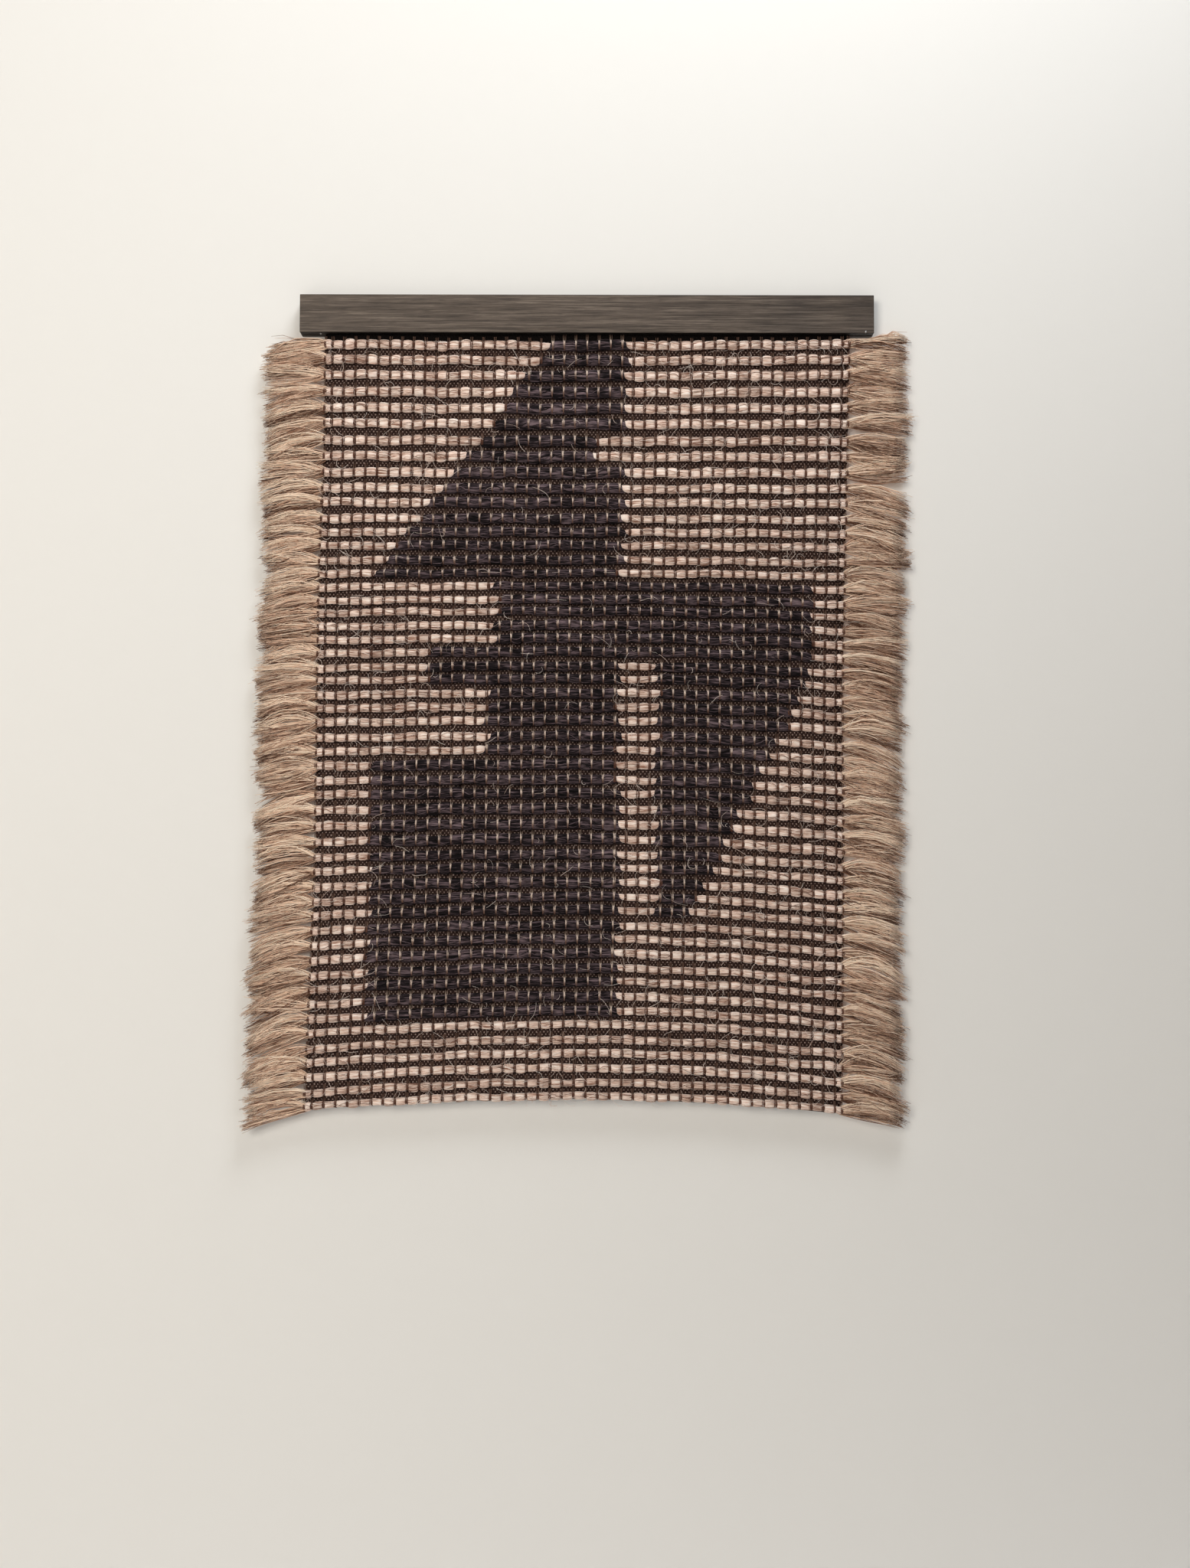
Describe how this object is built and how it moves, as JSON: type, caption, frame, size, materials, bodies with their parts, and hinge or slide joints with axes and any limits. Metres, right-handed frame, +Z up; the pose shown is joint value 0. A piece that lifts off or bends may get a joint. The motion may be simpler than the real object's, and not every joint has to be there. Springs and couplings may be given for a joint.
{
  "type": "tapestry wall hanging",
  "caption": "Hand-woven wall hanging: thick fibre bundles tied across a dark ground cloth, with side fringes, clamped at the top in a two-strip wooden batten.",
  "frame": {"origin": "middle of the rear batten strip's back face, where it lies against the wall", "axes": "+Z up along the hanging length, +Y from the room into the wall, +X to the right of someone facing the cloth"},
  "size_m": [0.8613, 0.02, 1.0833],
  "materials": {
    "stained_oak": "dark stain, sawn and sanded, fine long grain, matt",
    "bright_steel": "bright zinc",
    "dark_ground_cloth": "fine dark brown wool weave with light flecks",
    "natural_fibre": "undyed beige long-staple fibre, combed, slightly hairy",
    "dark_fibre": "dark brown-black fibre bundle lengths in the pattern",
    "warp_yarn": "fine twisted warp yarn that ties the bundles down"
  },
  "bodies": {
    "rail": {"rear_batten": "stained_oak", "front_batten": "stained_oak", "clamp_screw_left": "bright_steel", "clamp_screw_right": "bright_steel", "clamped_hem": "dark_ground_cloth"},
    "cloth_upper": {"ground_cloth_upper": "dark_ground_cloth", "weft_row_01": "natural_fibre", "weft_row_02": "natural_fibre", "weft_row_03": "natural_fibre", "weft_row_04": "natural_fibre", "weft_row_05": "natural_fibre", "weft_row_06": "natural_fibre", "weft_row_07": "natural_fibre", "weft_row_08": "natural_fibre", "weft_row_09": "natural_fibre", "weft_row_10": "natural_fibre", "weft_row_11": "natural_fibre", "weft_row_12": "natural_fibre", "weft_row_13": "natural_fibre", "weft_row_14": "natural_fibre", "weft_row_15": "natural_fibre", "weft_row_16": "natural_fibre"},
    "cloth_lower": {"ground_cloth_lower": "dark_ground_cloth", "weft_row_17": "natural_fibre", "weft_row_18": "natural_fibre", "weft_row_19": "natural_fibre", "weft_row_20": "natural_fibre", "weft_row_21": "natural_fibre", "weft_row_22": "natural_fibre", "weft_row_23": "natural_fibre", "weft_row_24": "natural_fibre", "weft_row_25": "natural_fibre", "weft_row_26": "natural_fibre", "weft_row_27": "natural_fibre", "weft_row_28": "natural_fibre", "weft_row_29": "natural_fibre", "weft_row_30": "natural_fibre", "weft_row_31": "natural_fibre", "weft_row_32": "natural_fibre", "weft_row_33": "natural_fibre", "weft_row_34": "natural_fibre", "weft_row_35": "natural_fibre", "weft_row_36": "natural_fibre", "weft_row_37": "natural_fibre", "weft_row_38": "natural_fibre", "weft_row_39": "natural_fibre", "weft_row_40": "natural_fibre", "weft_row_41": "natural_fibre", "weft_row_42": "natural_fibre", "weft_row_43": "natural_fibre", "weft_row_44": "natural_fibre", "weft_row_45": "natural_fibre", "weft_row_46": "natural_fibre", "weft_row_47": "natural_fibre", "weft_row_48": "natural_fibre", "weft_row_49": "natural_fibre", "weft_row_50": "natural_fibre", "weft_row_51": "natural_fibre", "weft_row_52": "natural_fibre", "weft_row_53": "natural_fibre"}
  },
  "joints": [
    {"name": "cloth_swing", "type": "hinge", "parent": "rail", "child": "cloth_upper", "pos_m": [0, -0.009, -0.0262], "axis": [-1, 0, 0], "range_deg": [0, 25]},
    {"name": "cloth_fold", "type": "hinge", "parent": "cloth_upper", "child": "cloth_lower", "pos_m": [0, -0.009, -0.3508], "axis": [-1, 0, 0], "range_deg": [0, 40]}
  ]
}
